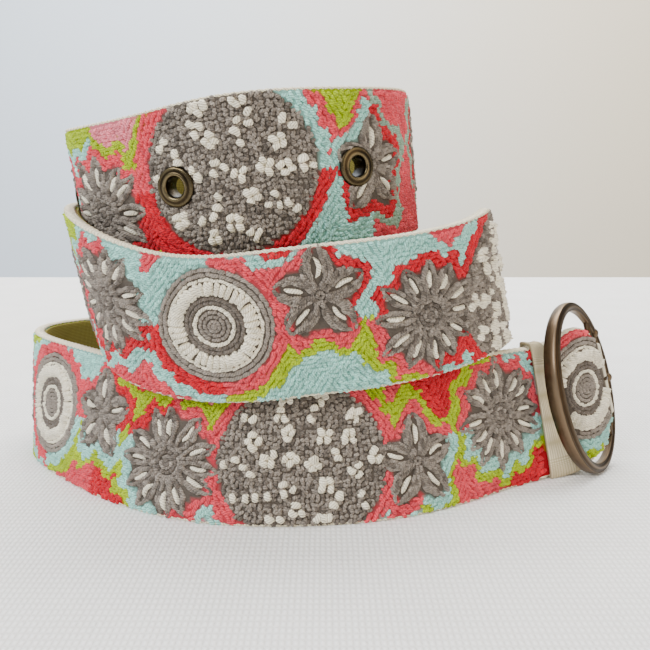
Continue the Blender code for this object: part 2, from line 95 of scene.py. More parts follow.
# Stations of the strap's face: shares of the coil's half width, its depth and the belt's width, then lean
COLUMNS = ("x", "y", "foot", "lean_x", "lean_y")
SCALES = {"x": COIL_HALF_WIDTH, "y": COIL_DEPTH, "foot": BELT_WIDTH, "lean_x": 1.0, "lean_y": 1.0}
STATIONS = (
    (0.817, 0.340, 0.125, -0.140, 0.130),
    (0.717, 0.302, 0.035, -0.060, 0.130),
    (0.610, 0.252, 0.004, -0.020, 0.170),
    (0.453, 0.160, 0.000, -0.020, 0.250),
    (0.238, 0.052, 0.000, -0.010, 0.320),
    (-0.042, -0.003, 0.000, 0.010, 0.345),
    (-0.323, 0.017, 0.000, 0.035, 0.350),
    (-0.582, 0.135, 0.000, 0.060, 0.310),
    (-0.840, 0.345, 0.000, 0.080, 0.200),
    (-0.993, 0.526, 0.000, 0.050, 0.070),
    (-1.013, 0.705, 0.000, 0.000, 0.000),
    (-0.833, 0.883, 0.000, 0.000, 0.000),
    (-0.525, 0.972, 0.050, 0.000, 0.000),
    (-0.154, 0.978, 0.220, 0.000, 0.000),
    (0.231, 0.878, 0.490, 0.000, 0.000),
    (0.498, 0.653, 0.755, -0.070, 0.000),
    (0.560, 0.446, 0.985, -0.180, -0.046),
    (0.539, 0.305, 1.035, -0.200, -0.086),
    (0.420, 0.093, 0.985, -0.100, -0.168),
    (0.182, -0.014, 0.892, -0.076, -0.190),
    (-0.104, -0.060, 0.828, -0.082, -0.210),
    (-0.380, -0.019, 0.790, -0.112, -0.200),
    (-0.625, 0.104, 0.945, -0.165, -0.120),
    (-0.728, 0.275, 1.040, -0.200, -0.052),
    (-0.765, 0.500, 1.070, -0.130, -0.010),
    (-0.540, 0.708, 1.103, -0.060, 0.000),
    (-0.235, 0.780, 1.382, -0.044, 0.000),
    (0.064, 0.723, 1.642, -0.046, 0.000),
    (0.246, 0.553, 1.824, -0.072, 0.000),
    (0.272, 0.363, 1.868, -0.100, 0.000),
    (0.176, 0.149, 1.830, -0.090, -0.040),
    (-0.013, 0.029, 1.790, -0.084, -0.060),
    (-0.255, 0.001, 1.738, -0.080, -0.060),
    (-0.509, 0.088, 1.632, -0.116, -0.036),
    (-0.705, 0.242, 1.585, -0.170, -0.016),
    (-0.728, 0.400, 1.612, -0.140, 0.000),
    (-0.600, 0.580, 1.634, -0.040, 0.000),
    (-0.348, 0.667, 1.656, 0.000, 0.000),
    (-0.063, 0.618, 1.678, 0.000, 0.000),
)

# Overcast rim along the strap's two edges
CORD_START = 0.004
CORD_STOP = 0.001
CORD_STEP = 0.00060
CORD_SIDES = 8
CORD_INSET = 0.0004
CORD_REACH = 0.0007
CORD_PAST_FACE = 1.06
CORD_LUMPS = 0.20
CORD_PITCH = 0.0024

# Oval buckle
FRAME_HALF_HEIGHT = 0.0335
FRAME_HALF_WIDTH = 0.0240
FRONT_BAND = 0.0050
FRONT_DEPTH = 0.0064
REAR_BAND = 0.0026
REAR_DEPTH = 0.0026
BEAD_RADIUS = 0.0021
BEAD_TURNS = (34.0, -2.0)
FRAME_SIDES = 24
FRAME_STEPS = 160
FRAME_SQUARE = 0.65
RIDGE_LIFT = 0.16
FACE_SINK = 0.08
BAR_SIDES = 16
BAR_RINGS = 9
BEAD_RINGS = 9
BUCKLE_AZIMUTH = 47.9
BUCKLE_TURN = 2.9
BUCKLE_LEAN = 14.4

# Loop of cloth beside the buckle
KEEPER_WIDTH = 0.0115
KEEPER_THICKNESS = 0.0010
KEEPER_PLAY = 0.0005
KEEPER_FROM_BAR = 0.0310
KEEPER_STEPS = 12
KEEPER_SIDES = 72
KEEPER_SQUARE_TALL = 0.16
KEEPER_SQUARE_DEEP = 0.35
KEEPER_BELLY = 0.10
KEEPER_BELLY_TURN = 1.4
KEEPER_UV_REACH = 0.017
KEEPER_UV_GAP = 0.02
TABLE_CLEARANCE = 0.0004

# Eyelets
EYELET_SPACING = 0.060
EYELET_FROM_TIP = 0.043
EYELET_COUNT = 5
EYELET_FLANGE = 0.0066
EYELET_OPENING = 0.0045
EYELET_SIDES = 56

# An eyelet's outline, from inside its tube over the flange: radius, height, 1 if behind the strap, and how
# light the metal is there, partly rubbed wear and partly painted highlight on the raised lip
EYELET_PROFILE = (
    (0.0032, 0.0, 1.0, 0.0),
    (0.0032, 0.0006, 0.0, 0.2),
    (0.0034, 0.0012, 0.0, 0.7),
    (0.0039, 0.0016, 0.0, 1.0),
    (0.0045, 0.0015, 0.0, 0.6),
    (0.0050, 0.0012, 0.0, 0.1),
    (0.0055, 0.0013, 0.0, 0.6),
    (0.0061, 0.0012, 0.0, 0.7),
    (0.0065, 0.0008, 0.0, 0.4),
    (0.0066, 0.0003, 0.0, 0.1),
    (0.0063, 0.0001, 0.0, 0.0),
    (0.0037, 0.0001, 0.0, 0.0),
    (0.0037, 0.0, 1.0, 0.0),
    (0.0052, 0.0, 1.0, 0.3),
    (0.0051, -0.0004, 1.0, 0.5),
    (0.0037, -0.0006, 1.0, 0.3),
)

# Camera, in the stations' own frame
LENS = 44.03
CAMERA_PITCH = math.radians(80.385)
CAMERA_PLACE = (0.00083, -0.25239, 0.10781)


def unit(v):
    return v / np.linalg.norm(v, axis=-1, keepdims=True)


def smooth_step(x):
    x = np.clip(x, 0.0, 1.0)
    return x * x * (3.0 - 2.0 * x)


def squared(wave, power):
    """A sine or cosine whose curve is made squarer by a power below one."""
    return np.sign(wave) * np.abs(wave) ** power


def natural_cubic(knots, values, at):
    """Reads the smooth curve through values at the knots, with no bend at its two ends."""
    count = len(knots)
    h = np.diff(knots)
    matrix = np.eye(count)
    right = np.zeros((count, values.shape[1]))
    for i in range(1, count - 1):
        matrix[i, i - 1 : i + 2] = h[i - 1], 2.0 * (h[i - 1] + h[i]), h[i]
        right[i] = 6.0 * ((values[i + 1] - values[i]) / h[i] - (values[i] - values[i - 1]) / h[i - 1])
    bend = np.linalg.solve(matrix, right)
    i = np.clip(np.searchsorted(knots, at) - 1, 0, count - 2)
    after = (at - knots[i])[:, None]
    before = (knots[i + 1] - at)[:, None]
    step = h[i][:, None]
    cubic = (bend[i] * before**3 + bend[i + 1] * after**3) / (6.0 * step)
    early = (values[i] / step - bend[i] * step / 6.0) * before
    late = (values[i + 1] / step - bend[i + 1] * step / 6.0) * after
    return cubic + early + late


class Strap:
    """The strap's face: its curve, directions, half width and thickness at any distance along."""

    def __init__(self):
        joint = frame["joints"][0]
        self.bar = np.array(joint["pos_m"])
        self.bar_up = unit(np.array(joint["axis"]))
        rows = np.array(STATIONS) * [SCALES[name] for name in COLUMNS]
        self.shift = np.zeros(3)
        self.shift[:2] = self.find_shift(rows)
        rows[:, :2] += self.shift[:2]
        first = np.array([*rows[0, :2], rows[0, 2] + BELT_WIDTH / 2.0])
        radius = BAR_RADIUS + GAP + FOLD_THICKNESS
        start = self.bar
        for _ in range(AIM_ROUNDS):
            away = first - start
            away = unit(away - self.bar_up * np.dot(away, self.bar_up))
            out = np.cross(self.bar_up, away)
            start = self.bar + out * radius
        self.away, self.out, self.fold_radius = away, out, radius
        lean = self.bar_up[:2] / self.bar_up[2]
        foot = start[2] - self.bar_up[2] * BELT_WIDTH / 2.0
        self.rows = np.vstack([[start[0], start[1], foot, *lean], rows])
        self.knots = self.knots_of(self.rows)
        self.length = self.knots[-1]
        self.table_at = np.linspace(0.0, self.length, TABLE_STEPS)
        self.table = self.exact(self.table_at)

    def knots_of(self, rows):
        middle = np.c_[rows[:, :2], rows[:, 2] + BELT_WIDTH / 2.0]
        return np.r_[0.0, np.cumsum(np.linalg.norm(np.diff(middle, axis=0), axis=1))]

    def find_shift(self, rows):
        """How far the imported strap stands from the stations' own origin."""
        knots = self.knots_of(rows)
        curve = natural_cubic(knots, rows, np.linspace(0.0, knots[-1], SEARCH_STEPS))
        low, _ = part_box("strap")
        return np.array(low)[:2] - curve[:, :2].min(axis=0)

    def exact(self, along):
        read = natural_cubic(self.knots, self.rows, np.clip(along, 0.0, self.length))
        before = natural_cubic(self.knots, self.rows, np.clip(along - HEADING_REACH, 0.0, self.length))
        after = natural_cubic(self.knots, self.rows, np.clip(along + HEADING_REACH, 0.0, self.length))
        foot = np.where(read[:, 2] < ON_TABLE * BELT_WIDTH, 0.0, read[:, 2])
        heading = unit(after[:, :3] - before[:, :3])
        heading = unit(heading + (self.away - heading) * (1.0 - smooth_step(along / TAPER_LENGTH))[:, None])
        up = np.c_[read[:, 3:5], np.ones(len(read))]
        heading = np.where((foot == 0.0)[:, None], unit(heading * (1.0, 1.0, 0.0)), heading)
        up = unit(up - heading * (up * heading).sum(1)[:, None])
        normal = np.cross(up, heading)
        middle = np.c_[read[:, :2], foot] + up * (0.0, 0.0, BELT_WIDTH / 2.0)
        tapered = 1.0 - np.clip(along / TAPER_LENGTH, 0.0, 1.0)
        half = BELT_WIDTH / 2.0 - (BELT_WIDTH / 2.0 - FOLD_HALF_WIDTH) * tapered**2
        left = np.clip((self.length - along) / TIP_LENGTH, 0.0, 1.0)
        half = TIP_BLUNT + (half - TIP_BLUNT) * np.sqrt(1.0 - (1.0 - left) ** 2)
        thick = FOLD_THICKNESS + (BAND_THICKNESS - FOLD_THICKNESS) * smooth_step(along / TAPER_LENGTH)
        level = unit(normal * (1.0, 1.0, 0.0))
        share = smooth_step((along - LEVEL_FROM) / (LEVEL_BY - LEVEL_FROM))[:, None]
        wall = unit(normal + (level - normal) * share)
        wall = wall / (wall * normal).sum(1)[:, None]
        return middle, up, normal, half, thick, wall, heading

    def read(self, along):
        """The same values as exact, read quickly from a fine table."""
        place = np.clip(along, 0.0, self.length) / self.length * (len(self.table_at) - 1)
        i = np.minimum(place.astype(int), len(self.table_at) - 2)
        t = place - i
        found = []
        for values in self.table:
            share = t if values.ndim == 1 else t[:, None]
            found.append(values[i] * (1.0 - share) + values[i + 1] * share)
        return found


strap = Strap()


def srgb(r, g, b):
    """A colour given as it looks on a screen, 0 to 255, as linear light."""
    c = np.array([r, g, b]) / 255.0
    return np.where(c <= 0.04045, c / 12.92, ((c + 0.055) / 1.055) ** 2.4)


COLOURS = {
    "gray": srgb(146, 136, 125),
    "dark": srgb(112, 103, 94),
    "cream": srgb(247, 238, 214),
    "coral": srgb(226, 76, 88),
    "red": srgb(203, 28, 44),
    "pink": srgb(236, 132, 144),
    "aqua": srgb(162, 218, 206),
    "sage": srgb(150, 180, 158),
    "lime": srgb(168, 192, 6),
}

# Shader nodes


class Wire:
    """A shader socket that can be added, multiplied and so on, each time through a Math node."""

    def __init__(self, graph, socket):
        self.graph = graph
        self.socket = socket

    def _math(self, operation, *others):
        return self.graph.node("ShaderNodeMath", {"operation": operation}, self, *others)

    def __add__(self, other):
        return self._math("ADD", other)

    __radd__ = __add__

    def __mul__(self, other):
        return self._math("MULTIPLY", other)

    __rmul__ = __mul__

    def __sub__(self, other):
        return self._math("SUBTRACT", other)

    def __rsub__(self, other):
        return self.graph.node("ShaderNodeMath", {"operation": "SUBTRACT"}, other, self)

    def power(self, other):
        return self._math("POWER", other)

    def absolute(self):
        return self._math("ABSOLUTE")

    def sine(self):
        return self._math("SINE")

    def between(self, low, high):
        """0 below low and 1 above high, smooth between."""
        settings = {"interpolation_type": "SMOOTHSTEP"}
        limits = {"From Min": low, "From Max": high}
        return self.graph.node("ShaderNodeMapRange", settings, Value=self, **limits)


class Graph:
    """A material's node tree."""

    def __init__(self, name):
        self.material = bpy.data.materials.new(name)
        self.material.use_nodes = True
        self.tree = self.material.node_tree
        self.shader = self.tree.nodes["Principled BSDF"]

    def node(self, kind, settings=None, *inputs, output=0, **named):
        made = self.tree.nodes.new(kind)
        for name, value in (settings or {}).items():
            setattr(made, name, value)
        sockets = [(made.inputs[i], value) for i, value in enumerate(inputs)]
        sockets += [(made.inputs[name], value) for name, value in named.items()]
        for socket, value in sockets:
            self.put(socket, value)
        return Wire(self, made.outputs[output])

    def put(self, socket, value):
        if isinstance(value, Wire):
            self.tree.links.new(value.socket, socket)
        else:
            socket.default_value = value

    def mix(self, share, one, two, blend="MIX"):
        made = self.tree.nodes.new("ShaderNodeMix")
        made.data_type = "RGBA"
        made.blend_type = blend
        self.put(made.inputs["Factor"], share)
        for name, value in (("A", one), ("B", two)):
            socket = next(s for s in made.inputs if s.name == name and s.type == "RGBA")
            self.put(socket, value if isinstance(value, Wire) else (*value, 1.0))
        return Wire(self, next(s for s in made.outputs if s.type == "RGBA"))

    def place(self):
        return self.node("ShaderNodeTexCoord", output=3)

    def uv(self):
        return self.node("ShaderNodeTexCoord", output=2)

    def noise(self, where, scale, detail=2.0, rough=0.5):
        values = {"Vector": where, "Scale": scale, "Detail": detail, "Roughness": rough}
        return self.node("ShaderNodeTexNoise", None, **values)

    def set(self, **values):
        for name, value in values.items():
            self.put(self.shader.inputs[name.replace("_", " ")], value)

    def bump(self, height, distance, strength=1.0):
        made = self.node("ShaderNodeBump", None, Height=height, Distance=distance, Strength=strength)
        self.set(Normal=made)


def wool_material():
    """Raised wool: the stitch's own colour with lighter and darker fibres and a two-ply twist, with painted
    shade in the twist's groove.
    """
    g = Graph("wool")
    tint = g.node("ShaderNodeAttribute", {"attribute_name": "tint"})
    where = g.place()
    fibre = g.noise(where, 1500.0, 3.0, 0.7)
    patch = g.noise(where, 130.0, 2.0)
    parts = g.node("ShaderNodeSeparateXYZ", None, g.uv())
    along = Wire(g, parts.socket.node.outputs[0])
    across = Wire(g, parts.socket.node.outputs[1])
    twist = ((along * 1.15 + across * 0.8) * math.pi).sine()
    groove = (1.0 - twist.absolute()).power(2.5)
    # The groove darkens the colour: painted shade in the twist's groove.
    shade = fibre * 0.75 + patch * 0.22 - groove * 0.26 + 0.58
    colour = g.node("ShaderNodeVectorMath", {"operation": "SCALE"}, Vector=tint, Scale=shade)
    g.set(Base_Color=colour, Roughness=0.92, Specular_IOR_Level=0.15, Sheen_Weight=0.12, Sheen_Roughness=0.5)
    g.bump(fibre * 0.7 - groove * 0.9, 0.00045, 0.9)
    return g.material


def felt_material():
    """Short felted ground between the stitches, in the colour of the stitches over it, mottled and made
    darker; the darkening is painted shade between the stitches.
    """
    g = Graph("felt")
    tint = g.node("ShaderNodeAttribute", {"attribute_name": "tint"})
    fine = g.noise(g.place(), 1200.0, 3.0, 0.7)
    colour = g.node("ShaderNodeVectorMath", {"operation": "SCALE"}, Vector=tint, Scale=fine * 0.6 + 0.45)
    g.set(Base_Color=colour, Roughness=0.95, Specular_IOR_Level=0.1)
    g.bump(fine, 0.0004, 0.7)
    return g.material


def weave_material(name, base, dark, threads, lift):
    """Plain weave on the piece's UV map, which is in metres along and across the cloth, darker between the
    threads as painted shade.
    """
    g = Graph(name)
    parts = g.node("ShaderNodeSeparateXYZ", None, g.uv())
    along = Wire(g, parts.socket.node.outputs[0])
    across = Wire(g, parts.socket.node.outputs[1])
    warp = (along * (threads * math.pi)).sine()
    weft = (across * (threads * math.pi)).sine()
    weave = (warp * weft).absolute()
    patch = g.noise(g.place(), 60.0, 3.0)
    fibre = g.noise(g.place(), 2200.0, 2.0)
    # Darker between the threads: painted shade; the patches and fibres are the cloth's own uneven tone.
    share = (weave * 0.75 + patch * 0.35 + fibre * 0.25).between(0.15, 1.05)
    g.set(Base_Color=g.mix(share, dark, base), Roughness=0.9, Specular_IOR_Level=0.15)
    g.bump(weave + fibre * 0.3, lift, 0.8)
    return g.material


def metal_material(name, base, rubbed_and_highlit, rough):
    """Antique metal: dark in its hollows, and lighter on its raised lines, partly rubbed wear and partly
    painted highlight.
    """
    g = Graph(name)
    where = g.place()
    cloud = g.noise(where, 140.0, 4.0, 0.6)
    fine = g.noise(where, 900.0, 2.0)
    wear_and_highlight = g.node("ShaderNodeAttribute", {"attribute_name": "wear_and_highlight"}, output=2)
    # The lighter colour on raised parts stands for rubbed wear and painted highlight together.
    share = (wear_and_highlight + cloud * 0.6 - 0.3).between(0.25, 0.95)
    g.set(Base_Color=g.mix(share, base, rubbed_and_highlit), Metallic=1.0, Roughness=cloud * 0.25 + rough)
    g.bump(fine * 0.5 + cloud, 0.0001, 0.5)
    return g.material


# Meshes


def make_object(name, points, faces, material, uv=None, tint=None, wear_and_highlight=None, smooth=True):
    """One piece at the origin from arrays: corners, four-sided faces, and values for each corner."""
    mesh = bpy.data.meshes.new(name)
    mesh.vertices.add(len(points))
    mesh.vertices.foreach_set("co", np.ascontiguousarray(points, np.float32).ravel())
    mesh.loops.add(faces.size)
    mesh.loops.foreach_set("vertex_index", faces.ravel().astype(np.int32))
    mesh.polygons.add(len(faces))
    mesh.polygons.foreach_set("loop_start", np.arange(len(faces), dtype=np.int32) * faces.shape[1])
    mesh.update(calc_edges=True)
    mesh.polygons.foreach_set("use_smooth", np.full(len(faces), smooth))
    if uv is not None:
        layer = mesh.uv_layers.new(name="UVMap")
        layer.data.foreach_set("uv", uv[faces.ravel()].astype(np.float32).ravel())
    if tint is not None:
        colours = mesh.color_attributes.new("tint", "FLOAT_COLOR", "POINT")
        colours.data.foreach_set("color", np.c_[tint, np.ones(len(tint))].astype(np.float32).ravel())
    if wear_and_highlight is not None:
        rubbed_and_highlit = mesh.attributes.new("wear_and_highlight", "FLOAT", "POINT")
        rubbed_and_highlit.data.foreach_set("value", wear_and_highlight.astype(np.float32))
    mesh.materials.append(material)
    mesh.validate()
    thing = bpy.data.objects.new(name, mesh)
    bpy.context.scene.collection.objects.link(thing)
    return thing


def ring_faces(rings, sides, closed=False):
    """Quads between rings of corners that all have the same number of sides."""
    i = np.arange(rings if closed else rings - 1)[:, None]
    j = np.arange(sides)[None, :]
    n = (j + 1) % sides
    k = (i + 1) % rings
    return np.stack([i * sides + j, i * sides + n, k * sides + n, k * sides + j], axis=-1).reshape(-1, 4)


def capped(rings):
    """Rings of corners with a middle corner set at both ends, which closes the tube."""
    first = np.repeat(rings[:1].mean(axis=1, keepdims=True), rings.shape[1], axis=1)
    last = np.repeat(rings[-1:].mean(axis=1, keepdims=True), rings.shape[1], axis=1)
    return np.concatenate([first, rings, last])


CORNER_SHARE = 0.3


def band_skin(centre, up, wall, half, thick, edge, columns):
    """Rings of a flat band with rounded edges and columns of corners across its two faces."""
    across = np.linspace(-1.0, 1.0, columns)
    edge = np.minimum(edge, thick * 0.45)
    front = [((half - edge) * s, np.zeros(len(half))) for s in across]
    round_off = edge * CORNER_SHARE
    top = [(half - round_off, round_off), (half, edge)]
    right = [*top, (half, thick - edge), (half - round_off, thick - round_off)]
    back = [((half - edge) * s, thick) for s in across[::-1]]
    left = [(-h, d) for h, d in right[::-1]]
    corners = front + right + back + left
    rings = np.stack([centre + up * h[:, None] - wall * d[:, None] for h, d in corners], axis=1)
    heights = np.stack([h for h, d in corners], axis=1)
    depths = np.stack([d for h, d in corners], axis=1)
    return rings, heights, depths


def band_object(name, rings, heights, depths, along, material, place, tint=None):
    """A band from its rings, open where an eyelet goes through. place is each ring's distance along."""
    uv = np.stack([np.repeat(along[:, None], rings.shape[1], axis=1), heights + depths], axis=-1)
    skin = capped(rings)
    uv = np.concatenate([uv[:1], uv, uv[-1:]]).reshape(-1, 2)
    faces = ring_faces(len(skin), skin.shape[1])
    u = np.repeat(np.r_[place[:1], place, place[-1:]], rings.shape[1])
    v = np.concatenate([heights[:1], heights, heights[-1:]]).ravel()
    mid_u, mid_v = u[faces].mean(axis=1), v[faces].mean(axis=1)
    for spot in eyelet_places():
        faces = faces[np.hypot(mid_u - spot, mid_v) > EYELET_OPENING]
        mid_u, mid_v = u[faces].mean(axis=1), v[faces].mean(axis=1)
    if tint is not None:
        tint = np.concatenate([tint[:1], tint, tint[-1:]]).reshape(-1, 3)
    return make_object(name, skin.reshape(-1, 3), faces, material, uv=uv, tint=tint)


def make_strap_cloth(material):
    """The felted ground of the strap, with its fold round the bar and the flap behind it."""
    run = np.linspace(FOLD_START, strap.length, RUN_STEPS)
    flap_run = run[run <= FLAP_LENGTH][::-1]
    middle, up, _, half, thick, wall, _ = strap.exact(flap_run)
    narrow = 1.0 - smooth_step(flap_run / TAPER_LENGTH)
    hollow = FLAP_GAP + (2.0 * (BAR_RADIUS + GAP) - FLAP_GAP) * narrow
    flap = middle - wall * (thick + hollow + FOLD_THICKNESS)[:, None]
    flap_half = FLAP_HALF_WIDTH + (FOLD_HALF_WIDTH - FLAP_HALF_WIDTH) * narrow
    turn = np.linspace(-math.pi / 2.0, math.pi / 2.0, 15)[:, None]
    radial = strap.out * np.sin(turn) - strap.away * np.cos(turn)
    same = np.ones(len(turn))
    m2, up2, _, half2, thick2, wall2, _ = strap.exact(run)
    centre = np.vstack([flap, strap.bar + radial * strap.fold_radius, m2])
    ups = np.vstack([up, np.outer(same, strap.bar_up), up2])
    walls = np.vstack([-wall, radial, wall2])
    halves = np.r_[flap_half, same * FOLD_HALF_WIDTH, half2]
    thicks = np.r_[np.full(len(flap) + len(turn), FOLD_THICKNESS), thick2]
    rings, heights, depths = band_skin(centre, ups, walls, halves, thicks, EDGE_ROUNDING, STRAP_COLUMNS)
    along = np.r_[0.0, np.cumsum(np.linalg.norm(np.diff(centre, axis=0), axis=1))]
    place = np.r_[np.zeros(len(flap) + len(turn)), run]
    u = np.repeat(place[:, None], rings.shape[1], axis=1) / MM
    tint = ground_colour(u.ravel(), heights.ravel() / MM).reshape(*u.shape, 3)
    # The fold and the flap are cream, darkened as painted shade like the rest of the felt.
    tint[: len(flap) + len(turn)] = COLOURS["cream"] * 0.8
    cloth = band_object("strap_cloth", rings, heights, depths, along, material, place, tint)
    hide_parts("strap")
    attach(cloth, "strap")
    return cloth


def make_lining(material):
    """The lining inside the strap, from behind the flap to the tip."""
    low, high = FLAP_LENGTH + LINING_AFTER_FLAP, strap.length - TIP_LENGTH * LINING_FROM_TIP
    run = np.linspace(low, high, LINING_STEPS)
    middle, up, _, half, thick, wall, _ = strap.exact(run)
    centre = middle - wall * (thick + GAP)[:, None]
    thin = np.full(len(run), LINING_THICKNESS)
    half = half - LINING_MARGIN
    rings, heights, depths = band_skin(centre, up, wall, half, thin, LINING_EDGE, LINING_COLUMNS)
    cloth = band_object("lining_cloth", rings, heights, depths, run, material, run)
    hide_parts("lining")
    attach(cloth, "strap")
    return cloth


def make_keeper(material):
    """The cloth loop: a flat tube round the strap, with rounded long edges."""
    run = np.linspace(-0.5, 0.5, KEEPER_STEPS) * KEEPER_WIDTH + KEEPER_FROM_BAR
    middle, up, _, half, thick, wall, _ = strap.exact(run)
    back = thick + GAP + LINING_THICKNESS
    turn = np.linspace(0.0, 2.0 * math.pi, KEEPER_SIDES, endpoint=False)
    belly = np.cos(np.linspace(-1.0, 1.0, len(run)) * KEEPER_BELLY_TURN)[:, None]
    rings = []
    for side in (1, -1):
        grow = KEEPER_PLAY + (KEEPER_THICKNESS if side > 0 else 0.0)
        tall = (half + grow)[:, None]
        deep = (back / 2.0 + grow)[:, None]
        h = squared(np.cos(turn), KEEPER_SQUARE_TALL)
        d = squared(np.sin(turn), KEEPER_SQUARE_DEEP)
        bulge = 1.0 + (KEEPER_BELLY if side > 0 else 0.0) * belly
        point = middle[:, None] + up[:, None] * (tall * h)[..., None]
        point = point - wall[:, None] * ((back / 2.0)[:, None] - deep * bulge * d)[..., None]
        rings.append(point if side > 0 else point[::-1])
    skin = np.concatenate(rings)
    floor = np.where(np.arange(len(skin)) < len(run), 0.0, TABLE_CLEARANCE)
    skin[..., 2] = np.maximum(skin[..., 2], floor[:, None])
    uv_along = np.concatenate([run, run[::-1] + KEEPER_UV_GAP])
    uv_across = np.broadcast_to(turn * KEEPER_UV_REACH, skin.shape[:2])
    uv = np.stack([np.repeat(uv_along[:, None], len(turn), axis=1), uv_across], axis=-1)
    faces = ring_faces(len(skin), len(turn), closed=True)
    loop = make_object("keeper_cloth", skin.reshape(-1, 3), faces, material, uv=uv.reshape(-1, 2))
    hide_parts("keeper_loop")
    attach(loop, "strap")
    return loop


# Stitches


class Stitches:
    """Rows of stitches in millimetres: along, across, angle, length, width, height, lift and colour."""

    def __init__(self):
        self.rows = []
        self.tints = []

    def add(self, u, v, angle, length, width, height, tint, lift=0.0):
        u = np.atleast_1d(np.asarray(u, float))
        given = (v, angle, length, width, height, lift)
        values = [np.broadcast_to(np.asarray(x, float), u.shape) for x in given]
        self.rows.append(np.column_stack([u, *values]))
        self.tints.append(np.broadcast_to(np.asarray(tint, float), (len(u), 3)))

    def arrays(self):
        return np.concatenate(self.rows), np.concatenate(self.tints)


S_CUTS = np.array([-1.0, -0.62, 0.0, 0.62, 1.0])
S_HEIGHT = np.array([0.0, 0.86, 1.0, 0.86, 0.0])
S_WIDTH = np.array([0.30, 0.92, 1.0, 0.92, 0.30])
T_CUTS = np.array([-1.0, -0.55, 0.0, 0.55, 1.0])
T_HEIGHT = np.array([0.0, 0.96, 0.72, 0.96, 0.0])
STITCH_SINK = 0.25
STITCH_GROUPS = 8
STRAP_END_MARGIN = 1.5
STRAP_EDGE_MARGIN = 0.9


def stitch_mesh(name, rows, tints, material):
    """All the stitches of a group as one mesh: each is a low mound with a groove along its middle."""
    u, v, angle, length, width, height, lift = rows.T
    s = S_CUTS[None, :, None]
    t = T_CUTS[None, None, :]
    shape = (len(u), len(S_CUTS), len(T_CUTS))
    bow = random.normal(0.0, 0.09, len(u))[:, None, None] * length[:, None, None]
    x = s * (length / 2.0)[:, None, None] + random.normal(0.0, 0.05, shape)
    y = t * S_WIDTH[None, :, None] * (width / 2.0)[:, None, None] * random.normal(1.0, 0.10, shape)
    y = y + bow * (0.5 - s**2) + random.normal(0.0, 0.04, shape)
    rise = S_HEIGHT[None, :, None] * T_HEIGHT[None, None, :] * height[:, None, None]
    rise = rise * random.normal(1.0, 0.12, shape)
    du = x * np.cos(angle)[:, None, None] - y * np.sin(angle)[:, None, None]
    dv = x * np.sin(angle)[:, None, None] + y * np.cos(angle)[:, None, None]
    along = ((u[:, None, None] + du) * MM).ravel()
    across = ((v[:, None, None] + dv) * MM).ravel()
    middle, up, normal, _, _, _, _ = strap.read(along)
    out = ((lift - STITCH_SINK)[:, None, None] + rise).ravel()
    points = middle + up * across[:, None] + normal * (out * MM)[:, None]
    uv = np.stack([x + u[:, None, None], np.broadcast_to(y, x.shape)], axis=-1).reshape(-1, 2)
    per = len(S_CUTS) * len(T_CUTS)
    i = np.arange(len(S_CUTS) - 1)[:, None]
    j = np.arange(len(T_CUTS) - 1)[None, :]
    corner = i * len(T_CUTS) + j
    ahead = corner + len(T_CUTS)
    cell = np.stack([corner, ahead, ahead + 1, corner + 1], axis=-1).reshape(-1, 4)
    faces = (np.arange(len(u))[:, None, None] * per + cell[None]).reshape(-1, 4)
    tint = np.repeat(tints, per, axis=0)
    thing = make_object(name, points, faces, material, uv=uv, tint=tint)
    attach(thing, "strap")
    return thing


# Chart of the embroidery, from the buckle to the tip: kind, along and across in millimetres
CHART = (
    ("circle", 13, 1),
    ("daisy", 56, 3),
    ("flower", 95, -7),
    ("round", 134, -4),
    ("daisy", 180, -7),
    ("flower", 214, 4),
    ("circle", 250, 1),
    ("daisy", 289, -1),
    ("flower", 321, 5),
    ("round", 358, 0),
    ("daisy", 398, -3),
    ("flower", 430, 5),
    ("circle", 463, 2),
    ("daisy", 500, 0),
    ("flower", 531, 6),
    ("round", 563, -2),
    ("daisy", 605, -3),
    ("flower", 641, 9),
    ("circle", 675, 2),
    ("daisy", 717, 3),
    ("flower", 751, -5),
    ("round", 789, 0),
    ("daisy", 831, 2),
    ("flower", 864, -6),
    ("circle", 897, 1),
    ("daisy", 940, 6),
    ("flower", 989, 0),
    ("round", 1037, 2),
    ("daisy", 1087, -5),
    ("flower", 1120, 5),
    ("circle", 1152, 0),
    ("daisy", 1190, 0),
)
RADII = {"circle": 19.5, "daisy": 17.0, "flower": 13.0, "round": 28.0}
TALL = {"circle": 19.5, "daisy": 17.4, "flower": 15.6, "round": 26.5}

